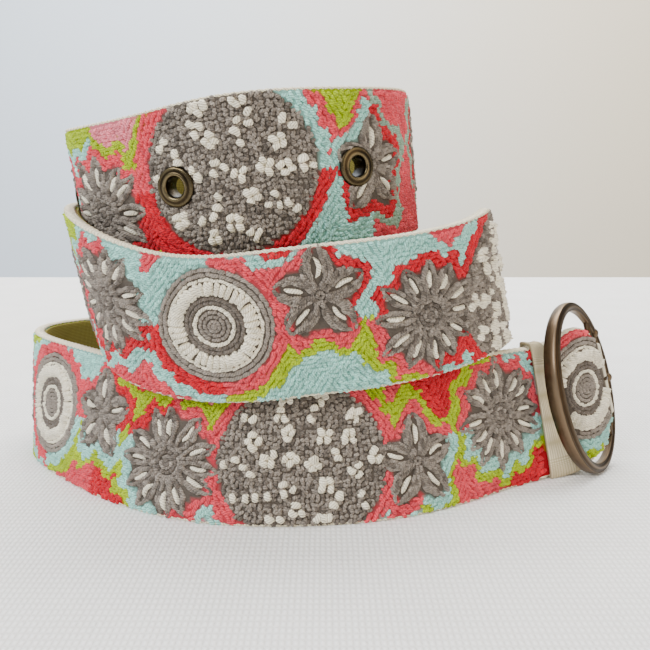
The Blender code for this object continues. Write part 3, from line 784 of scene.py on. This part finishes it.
# Colours of the ground outwards from a motif's edge, in the upper and the lower half of each gap
GAPS = (
    ("coral red red", "aqua red coral"),
    ("coral aqua red", "aqua lime red"),
    ("coral lime red", "aqua lime coral"),
    ("coral lime coral", "coral aqua lime"),
    ("coral lime pink", "coral aqua pink"),
    ("red lime red", "aqua lime red"),
    ("coral aqua aqua", "aqua lime coral"),
    ("coral aqua lime", "coral aqua lime"),
    ("red aqua lime", "coral lime aqua"),
    ("aqua coral lime", "red aqua coral"),
    ("coral aqua lime", "coral aqua lime"),
    ("red aqua coral", "coral lime pink"),
    ("coral lime aqua", "aqua coral red"),
    ("coral aqua lime", "red aqua lime"),
    ("coral aqua pink", "coral aqua lime"),
    ("coral lime aqua", "red aqua coral"),
    ("red aqua coral", "red aqua coral"),
    ("red aqua aqua", "coral lime aqua"),
    ("coral aqua red", "coral lime aqua"),
    ("aqua aqua coral", "red aqua coral"),
    ("coral aqua lime", "coral red aqua"),
    ("coral aqua lime", "coral lime aqua"),
    ("red aqua coral", "coral aqua lime"),
    ("coral lime pink", "coral aqua red"),
    ("aqua coral lime", "red aqua coral"),
    ("coral aqua lime", "coral aqua lime"),
    ("red sage coral", "red sage coral"),
    ("aqua coral lime", "red aqua aqua"),
    ("coral lime pink", "red red lime"),
    ("coral aqua lime", "coral aqua lime"),
    ("red aqua lime", "coral lime aqua"),
    ("coral aqua lime", "coral aqua lime"),
    ("coral aqua lime", "coral aqua lime"),
)
BAND_WIDTHS = (4.6, 8.6)
ZIGZAG_PERIOD = 8.0
ZIGZAG_DEPTH = 1.08
ZIGZAG_SLANT = 0.6
# Painted shade: the felt seen between the stitches is darker than the stitches' own colour.
FELT_SHADE = 0.72
GROUND_GAP = 0.3
GROUND_STEP_U = 2.0
GROUND_STEP_V = 1.38
KNOT_STEP = 1.47
WHITE_KNOTS = ((0.14, 2), (0.42, 6), (0.66, 9), (0.88, 10))

random = np.random.default_rng(11)
stitches = Stitches()


def motif_distance(u, v):
    """Distance outside the nearest motif, in millimetres, its number, and the direction away from it."""
    best = np.full(u.shape, 1e9)
    which = np.zeros(u.shape, int)
    angle = np.zeros(u.shape)
    for k, (kind, mu, mv) in enumerate(CHART):
        sx, sy = RADII[kind], TALL[kind]
        dx, dy = (u - mu) / sx, (v - mv) / sy
        r = np.hypot(dx, dy)
        wobble = 1.0
        if kind == "daisy":
            wobble = 0.95 + 0.07 * np.cos(np.arctan2(dy, dx) * 12.0)
        if kind == "flower":
            wobble = 0.87 + 0.15 * np.cos(np.arctan2(dy, dx) * 5.0 - math.pi / 2.0)
        d = (r / wobble - 1.0) * (sx + sy) / 2.0
        near = d < best
        best = np.where(near, d, best)
        which = np.where(near, k, which)
        angle = np.where(near, np.arctan2(v - mv, u - mu), angle)
    return best, which, angle


def band_colour(u, v, distance):
    """Name of the ground's colour at a place between the motifs."""
    centres = np.array([mu for _, mu, _ in CHART])
    gap = np.searchsorted(centres, u)
    phase = np.abs((u + v * ZIGZAG_SLANT) % ZIGZAG_PERIOD / (ZIGZAG_PERIOD / 2.0) - 1.0)
    d = distance + ZIGZAG_DEPTH * (2.0 * phase - 1.0)
    level = (d > BAND_WIDTHS[0]).astype(int) + (d > BAND_WIDTHS[1]).astype(int)
    names = np.array([[half.split() for half in pair] for pair in GAPS])
    lower = (v < 0.0).astype(int)
    return names[gap, lower, level]


def ground_colour(u, v):
    """The felt's colour at each place: gray under the motifs, and the stitches' own colour between them,
    darkened as painted shade between the stitches.
    """
    distance, _, _ = motif_distance(u, v)
    names = np.where(distance > 0.0, band_colour(u, v, distance), "dark")
    return np.array([COLOURS[name] for name in names]) * FELT_SHADE


def colour_of(names, spread=0.10):
    base = np.array([COLOURS[name] for name in names])
    return base * (1.0 + random.normal(0.0, spread, (len(base), 1)))


def fill_ground():
    """Rows of small chain stitches that follow the motifs' outlines, over all the ground between them."""
    end = strap.length / MM - 1.0
    u, v = np.meshgrid(np.arange(2.0, end, GROUND_STEP_U), np.arange(-24.0, 24.1, GROUND_STEP_V))
    u = u + (np.arange(u.shape[0]) % 2)[:, None] * GROUND_STEP_U / 2.0
    u = (u + random.uniform(-0.35, 0.35, u.shape)).ravel()
    v = (v + random.uniform(-0.25, 0.25, v.shape)).ravel()
    distance, _, angle = motif_distance(u, v)
    _, _, _, half, _, _, _ = strap.read(u * MM)
    keep = (distance > GROUND_GAP) & (np.abs(v) < half / MM - STRAP_EDGE_MARGIN) & (u < end)
    u, v, distance, angle = u[keep], v[keep], distance[keep], angle[keep]
    names = band_colour(u, v, distance)
    turn = angle + math.pi / 2.0 + random.normal(0.0, 0.35, len(u))
    count = len(u)
    stitches.add(
        u,
        v,
        turn,
        random.uniform(2.5, 3.3, count),
        random.uniform(1.35, 1.75, count),
        random.uniform(0.85, 1.25, count),
        colour_of(names, 0.09),
    )


def ring_of(mu, mv, radius, spacing, length, width, height, name, spread=0.1, jitter=0.15):
    """Stitches that follow one another round a circle."""
    count = max(5, int(round(math.pi * 2.0 * radius / spacing)))
    a = (np.arange(count) + random.uniform(-jitter, jitter, count)) / count * 2.0 * math.pi
    names = [name] * count
    stitches.add(
        mu + radius * np.cos(a),
        mv + radius * np.sin(a),
        a + math.pi / 2.0 + random.normal(0.0, 0.08, count),
        length * random.uniform(0.92, 1.08, count),
        width * random.uniform(0.92, 1.08, count),
        height * random.uniform(0.92, 1.08, count),
        colour_of(names, spread),
    )


def add_circle(mu, mv):
    """A ring of thick cream stitches that point outwards, inside gray rings, round a thin cream ring."""
    for radius in (18.7, 17.0):
        ring_of(mu, mv, radius, 2.5, 3.4, 1.6, 1.0, "gray")
    ring_of(mu, mv, 15.4, 2.4, 3.2, 1.3, 0.9, "cream")
    count = 42
    a = (np.arange(count) + random.uniform(-0.16, 0.16, count)) / count * 2.0 * math.pi
    reach = 12.6 + random.uniform(-0.35, 0.35, count)
    x, y = mu + reach * np.cos(a), mv + reach * np.sin(a)
    long = random.uniform(4.6, 6.0, count)
    tall = random.uniform(1.8, 2.6, count)
    turn = a + random.normal(0.0, 0.05, count)
    stitches.add(x, y, turn, long, 2.15, tall, colour_of(["cream"] * count, 0.03))
    for radius in (9.3, 7.9):
        ring_of(mu, mv, radius, 2.2, 2.9, 1.4, 1.0, "dark")
    ring_of(mu, mv, 6.4, 2.2, 3.0, 1.4, 1.3, "cream", spread=0.04)
    for radius in (4.7, 3.2, 1.7, 0.4):
        ring_of(mu, mv, radius, 1.6, 2.1, 1.3, 1.0, "gray")


def add_petal(mu, mv, a, near, far, wide, yarns):
    """One looped petal: yarns of gray that bow out on both sides of a line, with a cream stitch down it."""
    across = np.array([-math.sin(a), math.cos(a)])
    out = np.array([math.cos(a), math.sin(a)])
    count = int((far - near) / 2.3) + 2
    for side in (-1.0, 1.0):
        for share in yarns:
            s = np.linspace(near + share * 1.0, far - share * 3.0, count)
            place = np.clip((s - near + 0.6) / (far - near + 1.0), 0.0, 1.0)
            bow = wide * (1.0 - 0.55 * share) * np.sin(place * math.pi) ** 0.6
            x = mu + out[0] * s + across[0] * side * bow + random.normal(0.0, 0.18, count)
            y = mv + out[1] * s + across[1] * side * bow + random.normal(0.0, 0.18, count)
            step = np.arctan2(np.gradient(y), np.gradient(x))
            tint = colour_of(random.choice(["gray", "gray", "dark"], count), 0.13)
            stitches.add(x, y, step, 3.1, 1.3, random.uniform(1.0, 1.5, count), tint, lift=0.2)
    middle = out * (near + far) / 2.0
    tint = colour_of(["cream"], 0.05)
    stitches.add([mu + middle[0]], mv + middle[1], a, (far - near) * 0.55, 1.6, 1.5, tint, lift=0.1)


def add_daisy(mu, mv):
    """Twelve long looped petals, each with a cream stitch down its middle, round a spiral of gray."""
    petals = 12
    for k in range(petals):
        a = (k + random.uniform(-0.22, 0.22)) / petals * 2.0 * math.pi
        far = random.uniform(16.3, 19.8)
        add_petal(mu, mv, a, 6.2, far, random.uniform(2.1, 2.7), (0.0, 0.55))
    for radius, name in ((6.2, "gray"), (4.8, "gray"), (3.4, "dark"), (2.0, "gray"), (0.7, "dark")):
        ring_of(mu, mv, radius, 1.9, 2.4, 1.4, 1.3, name, spread=0.15, jitter=0.35)


def add_flower(mu, mv):
    """Five broad petals of looped gray round a small middle, with a cream seed in each petal."""
    petals = 5
    for k in range(petals):
        a = math.pi / 2.0 + (k + random.uniform(-0.12, 0.12)) / petals * 2.0 * math.pi
        far = 13.0 + 2.6 * abs(math.sin(a))
        add_petal(mu, mv, a, 2.6, far, 4.3, (0.0, 0.3, 0.6, 0.9))
    for radius, name in ((2.4, "dark"), (0.9, "gray")):
        ring_of(mu, mv, radius, 1.7, 2.3, 1.3, 1.4, name)


def add_round(mu, mv):
    """A big round packed with small gray knots that lie all ways, with clusters of white knots over it."""
    side = np.arange(-28.0, 28.1, KNOT_STEP)
    gu, gv = (value.ravel() for value in np.meshgrid(side, side * 0.95))
    gu = gu + random.uniform(-0.5, 0.5, len(gu))
    gv = gv + random.uniform(-0.5, 0.5, len(gv))
    inside = np.hypot(gu / 28.0, gv / 26.5) < 1.0
    gu, gv = gu[inside], gv[inside]
    many = len(gu)
    length = random.uniform(1.6, 2.5, many)
    turn = random.uniform(0.0, math.pi, many)
    height = random.uniform(0.7, 1.5, many)
    tint = colour_of(np.where(random.uniform(size=many) < 0.3, "dark", "gray"), 0.15)
    stitches.add(mu + gu, mv + gv, turn, length, 1.4, height, tint)
    spots = []
    for share, count in WHITE_KNOTS:
        for k in range(count):
            a = (k + random.uniform(-0.2, 0.2)) / count * 2.0 * math.pi + share * 5.0
            spots.append((mu + 27.0 * share * math.cos(a), mv + 24.5 * share * math.sin(a)))
    for su, sv in spots:
        count = random.integers(2, 5)
        a = random.uniform(0.0, 2.0 * math.pi) + np.arange(count) / count * 2.0 * math.pi
        reach = random.uniform(1.1, 2.4, count)
        tint = colour_of(["cream"] * count, 0.04)
        size = random.uniform(2.9, 3.9, count)
        stitches.add(
            su + reach * np.cos(a),
            np.clip(sv + reach * np.sin(a), -22.6, 22.6),
            random.uniform(0.0, math.pi, count),
            size,
            size * 0.72,
            random.uniform(1.9, 2.5, count),
            tint,
            lift=0.3,
        )


MAKERS = {"circle": add_circle, "daisy": add_daisy, "flower": add_flower, "round": add_round}


def trimmed(rows, tints):
    """Leaves out stitches past the strap's edges, inside an eyelet, or under the cloth loop."""
    u, v = rows[:, 0], rows[:, 1]
    half = strap.read(u * MM)[3] / MM
    keep = (np.abs(v) < half - STRAP_EDGE_MARGIN) & (u > STRAP_END_MARGIN)
    keep &= u < strap.length / MM - STRAP_END_MARGIN
    for place in eyelet_places():
        keep &= np.hypot(u - place / MM, v) > EYELET_FLANGE / MM - 0.2
    keep &= np.abs(u - KEEPER_FROM_BAR / MM) > KEEPER_WIDTH / MM / 2.0 + 1.4
    return rows[keep], tints[keep]


def eyelet_places():
    last = strap.length - EYELET_FROM_TIP
    return [last - EYELET_SPACING * k for k in reversed(range(EYELET_COUNT))]


def make_edge_cord(name, side, material):
    """The rolled rim of overcast thread along one edge, as a lumpy tube sunk into the strap's edge."""
    u = np.arange(CORD_START, strap.length - CORD_STOP, CORD_STEP)
    middle, up, normal, half, thick, wall, _ = strap.read(u)
    centre = middle + up * (side * (half - CORD_INSET))[:, None] - wall * (thick / 2.0)[:, None]
    turn = np.linspace(0.0, 2.0 * math.pi, CORD_SIDES, endpoint=False)
    beat = 1.0 + CORD_LUMPS * np.sin(u[:, None] / CORD_PITCH * 2.0 * math.pi + turn)
    reach_up = CORD_REACH * beat * np.cos(turn)
    reach_out = (thick / 2.0 * CORD_PAST_FACE)[:, None] * beat * np.sin(turn)
    rings = centre[:, None] + up[:, None] * reach_up[..., None] + wall[:, None] * reach_out[..., None]
    rings[..., 2] = np.maximum(rings[..., 2], 0.0)
    skin = capped(rings)
    along = np.concatenate([u[:1], u, u[-1:]]) / MM
    around = np.broadcast_to(turn, (len(skin), CORD_SIDES))
    uv = np.stack([np.repeat(along[:, None], CORD_SIDES, axis=1), around], axis=-1)
    tint = np.broadcast_to(srgb(234, 224, 196), (len(skin) * CORD_SIDES, 3))
    faces = ring_faces(len(skin), CORD_SIDES)
    thing = make_object(name, skin.reshape(-1, 3), faces, material, uv=uv.reshape(-1, 2), tint=tint)
    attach(thing, "strap")
    return thing


# Metal


def oval_axes():
    """The buckle's three directions: towards its bar's side, along its bar, and out of its face."""
    azimuth, turn = math.radians(BUCKLE_AZIMUTH), math.radians(BUCKLE_TURN)
    level = np.array([math.cos(azimuth), math.sin(azimuth), 0.0])
    outward = np.array([math.sin(azimuth), -math.cos(azimuth), 0.0])
    lean = math.radians(BUCKLE_LEAN)
    up = np.array([0.0, 0.0, 1.0]) * math.cos(lean) - outward * math.sin(lean)
    rear = level * math.cos(turn) + up * math.sin(turn)
    up = up * math.cos(turn) - level * math.sin(turn)
    return rear, up, np.cross(rear, up)


def make_frame(material):
    """The oval buckle with a ridge between two grooves, its bar and two beads, joined as one piece."""
    rear, up, face = oval_axes()
    centre = strap.bar - rear * (FRAME_HALF_WIDTH - BAR_INSET)
    sides, count = FRAME_SIDES, FRAME_STEPS
    turn = np.linspace(0.0, 2.0 * math.pi, count, endpoint=False)[:, None]
    front = (1.0 - np.cos(turn)) / 2.0
    band = REAR_BAND + (FRONT_BAND - REAR_BAND) * front
    deep = REAR_DEPTH + (FRONT_DEPTH - REAR_DEPTH) * front
    line = centre + rear * (FRAME_HALF_WIDTH - band / 2.0) * np.cos(turn)
    line = line + up * (FRAME_HALF_HEIGHT - band / 2.0) * np.sin(turn)
    out = unit(rear * np.cos(turn) * FRAME_HALF_HEIGHT + up * np.sin(turn) * FRAME_HALF_WIDTH)
    a = np.linspace(0.0, 2.0 * math.pi, sides, endpoint=False)
    x = squared(np.cos(a), FRAME_SQUARE)
    y = squared(np.sin(a), FRAME_SQUARE)
    ridge = np.cos(x * math.pi * 2.0) * np.clip(y, 0.0, 1.0)
    # Lighter on the ridge of the face and on the band's two edges: partly rubbed wear, partly painted
    # highlight.
    wear_and_highlight = np.clip(0.25 + 0.75 * ridge + 0.4 * (np.abs(x) > 0.9), 0.0, 1.0)
    y = y + (RIDGE_LIFT * ridge - FACE_SINK) * np.clip(y, 0.0, 1.0)
    rings = line[:, None] + out[:, None] * (band / 2.0 * x)[..., None] + face * (deep / 2.0 * y)[..., None]
    parts = [(rings.reshape(-1, 3), ring_faces(count, sides, closed=True), np.tile(wear_and_highlight, count))]
    reach = FRAME_HALF_WIDTH - BAR_INSET
    share = reach / (FRAME_HALF_WIDTH - REAR_BAND / 2.0)
    tall = (FRAME_HALF_HEIGHT - (REAR_BAND + FRONT_BAND) / 4.0) * math.sqrt(1.0 - share**2)
    s = np.linspace(-1.0, 1.0, BAR_RINGS)[:, None, None] * tall
    b = np.linspace(0.0, 2.0 * math.pi, BAR_SIDES, endpoint=False)[None, :, None]
    rod = strap.bar + up * s + (rear * np.cos(b) + face * np.sin(b)) * BAR_RADIUS
    rod = capped(rod)
    parts.append((rod.reshape(-1, 3), ring_faces(len(rod), BAR_SIDES), np.full(len(rod) * BAR_SIDES, 0.5)))
    for degrees in BEAD_TURNS:
        t = math.radians(degrees)
        spot = centre + rear * (FRAME_HALF_WIDTH - REAR_BAND / 2.0) * math.cos(t)
        spot = spot + up * (FRAME_HALF_HEIGHT - REAR_BAND / 2.0) * math.sin(t)
        polar = np.linspace(0.0, math.pi, BEAD_RINGS)[:, None, None]
        ball = (rear * np.cos(b) + face * np.sin(b)) * np.sin(polar) + up * np.cos(polar)
        ball = spot + ball * BEAD_RADIUS
        rubbed_and_highlit = np.full(BEAD_RINGS * BAR_SIDES, 0.6)
        parts.append((ball.reshape(-1, 3), ring_faces(BEAD_RINGS, BAR_SIDES), rubbed_and_highlit))
    base = 0
    points, faces, rubbed_and_highlit = [], [], []
    for p, f, w in parts:
        points.append(p)
        faces.append(f + base)
        rubbed_and_highlit.append(w)
        base += len(p)
    points, faces, rubbed_and_highlit = np.vstack(points), np.vstack(faces), np.concatenate(rubbed_and_highlit)
    frame_piece = make_object("buckle_oval", points, faces, material, wear_and_highlight=rubbed_and_highlit)
    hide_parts("buckle_frame")
    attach(frame_piece, "buckle")
    return frame_piece


def make_eyelet(k, along, material):
    """A turned ring: a domed flange with a rolled lip on the face, a tube and a rolled edge behind."""
    middle, up, normal, _, thick, _, _ = (value[0] for value in strap.read(np.array([along])))
    side = np.cross(up, normal)
    depth = BAND_THICKNESS + GAP + LINING_THICKNESS
    back = -(depth + 2.0 * GAP)
    table = np.array(EYELET_PROFILE)
    profile = table[:, :2] + np.outer(table[:, 2], (0.0, back))
    wear_and_highlight = table[:, 3]
    turn = np.linspace(0.0, 2.0 * math.pi, EYELET_SIDES, endpoint=False)[:, None]
    spoke = side * np.cos(turn) + up * np.sin(turn)
    rings = middle + spoke[:, None] * profile[None, :, :1] + normal * profile[None, :, 1:]
    faces = ring_faces(len(turn), len(profile), closed=True)
    name = f"eyelet_ring_{k + 1}"
    ring = make_object(name, rings.reshape(-1, 3), faces, material, wear_and_highlight=np.tile(wear_and_highlight, len(turn)))
    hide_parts(f"eyelet_{k + 1}")
    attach(ring, "strap")
    return ring


# Stage


TABLE_NEAR = -1.0
TABLE_FAR = 0.68
TABLE_REACH = 2.5
WALL_REACH = 5.0
WALL_AWAY = 2.2
WALL_LOW = -1.5
WALL_HIGH = 3.0


def make_floor():
    """The table, under a fine white cloth, and the pale wall behind it."""
    g = Graph("table_cloth")
    where = g.place()
    parts = g.node("ShaderNodeSeparateXYZ", None, where)
    x = Wire(g, parts.socket.node.outputs[0])
    y = Wire(g, parts.socket.node.outputs[1])
    weave = ((x * 1900.0).sine() * (y * 1100.0).sine()).absolute()
    patch = g.noise(where, 25.0, 3.0)
    fine = g.noise(where, 700.0, 2.0)
    # Darker between the threads of the cloth: painted shade; the patches and fine noise are the cloth's own
    # uneven tone.
    share = (weave * 0.45 + fine * 0.4 + patch * 0.3).between(0.1, 1.0)
    g.set(Base_Color=g.mix(share, srgb(214, 212, 208), srgb(244, 243, 241)), Roughness=0.9)
    g.bump(weave + fine * 0.5, 0.0006, 0.6)
    near, far, reach = TABLE_NEAR, TABLE_FAR, TABLE_REACH
    points = np.array([[-reach, near, 0.0], [reach, near, 0.0], [reach, far, 0.0], [-reach, far, 0.0]])
    floor = make_object("ground", points, np.array([[0, 1, 2, 3]]), g.material, smooth=False)
    wall = Graph("far_wall")
    spot = wall.node("ShaderNodeSeparateXYZ", None, wall.place())
    wx = Wire(wall, spot.socket.node.outputs[0])
    # Painted light: the wall goes from cool at the left to warm at the right, the tint of the cool key lamp
    # and the warm fill lamp.
    colour = wall.mix(wx.between(-0.9, 1.1), srgb(216, 226, 236), srgb(226, 214, 190))
    wall.set(Base_Color=colour, Roughness=1.0, Specular_IOR_Level=0.0)
    x, y, low, high = WALL_REACH, WALL_AWAY, WALL_LOW, WALL_HIGH
    points = np.array([[-x, y, low], [x, y, low], [x, y, high], [-x, y, high]])
    back = make_object("backdrop", points, np.array([[0, 1, 2, 3]]), wall.material, smooth=False)


# Name, place, target, size, power and colour of each light
LIGHTS = (
    ("key", (-1.1, -1.0, 1.25), (0.0, 0.0, 0.07), 1.1, 42.0, (0.97, 0.98, 1.0)),
    ("fill", (1.3, -1.0, 0.7), (0.0, 0.0, 0.07), 1.2, 15.0, (1.0, 0.82, 0.60)),
    ("top", (0.1, 0.3, 1.6), (0.0, 0.0, 0.07), 1.2, 15.0, (1.0, 0.98, 0.95)),
    ("wall", (0.0, 0.9, 1.8), (0.0, 2.2, 0.4), 2.0, 110.0, (1.0, 1.0, 1.0)),
)


def add_light(name, place, target, size, power, colour):
    light = bpy.data.lights.new(name, "AREA")
    light.shape = "SQUARE"
    light.size = size
    light.energy = power
    light.color = colour
    thing = bpy.data.objects.new(name, light)
    bpy.context.scene.collection.objects.link(thing)
    thing.location = place
    aim = np.array(target) - np.array(place)
    flat = math.hypot(aim[0], aim[1])
    thing.rotation_euler = (math.atan2(flat, -aim[2]), 0.0, math.atan2(aim[1], aim[0]) - math.pi / 2.0)
    return thing


def make_camera():
    camera = bpy.data.cameras.new("camera")
    camera.lens = LENS
    camera.sensor_width = 36.0
    thing = bpy.data.objects.new("camera", camera)
    bpy.context.scene.collection.objects.link(thing)
    thing.location = np.array(CAMERA_PLACE) + strap.shift
    thing.rotation_euler = (CAMERA_PITCH, 0.0, 0.0)
    camera.clip_start = 0.01
    bpy.context.scene.camera = thing


def main():
    make_camera()
    wool = wool_material()
    felt = felt_material()
    olive = weave_material("olive_weave", srgb(140, 130, 66), srgb(92, 84, 34), 1500.0, 0.00015)
    cream = weave_material("cream_weave", srgb(224, 210, 176), srgb(174, 158, 122), 1300.0, 0.00022)
    # Each metal's second, lighter colour is rubbed metal and painted highlight together.
    bronze = metal_material("bronze", srgb(56, 44, 31), srgb(112, 95, 76), 0.24)
    brass = metal_material("brass", srgb(44, 36, 25), srgb(98, 87, 64), 0.16)
    make_strap_cloth(felt)
    make_lining(olive)
    make_keeper(cream)
    for kind, mu, mv in CHART:
        MAKERS[kind](mu, mv)
    fill_ground()
    rows, tints = trimmed(*stitches.arrays())
    cuts = np.linspace(0.0, strap.length / MM, STITCH_GROUPS + 1)
    for k in range(STITCH_GROUPS):
        inside = (rows[:, 0] >= cuts[k]) & (rows[:, 0] < cuts[k + 1])
        stitch_mesh(f"embroidery_{k + 1}", rows[inside], tints[inside], wool)
    make_edge_cord("edge_lower", -1.0, wool)
    make_edge_cord("edge_upper", 1.0, wool)
    make_frame(bronze)
    for slot in frame["nodes"]["prong"].material_slots:
        slot.material = bronze
    for k, along in enumerate(eyelet_places()):
        make_eyelet(k, along, brass)
    make_floor()
    for name, place, target, size, power, colour in LIGHTS:
        add_light(name, place, target, size, power, colour)
    world = bpy.data.worlds.new("room")
    world.use_nodes = True
    world.node_tree.nodes["Background"].inputs["Color"].default_value = (0.86, 0.90, 0.95, 1.0)
    world.node_tree.nodes["Background"].inputs["Strength"].default_value = 0.72
    bpy.context.scene.world = world


main()
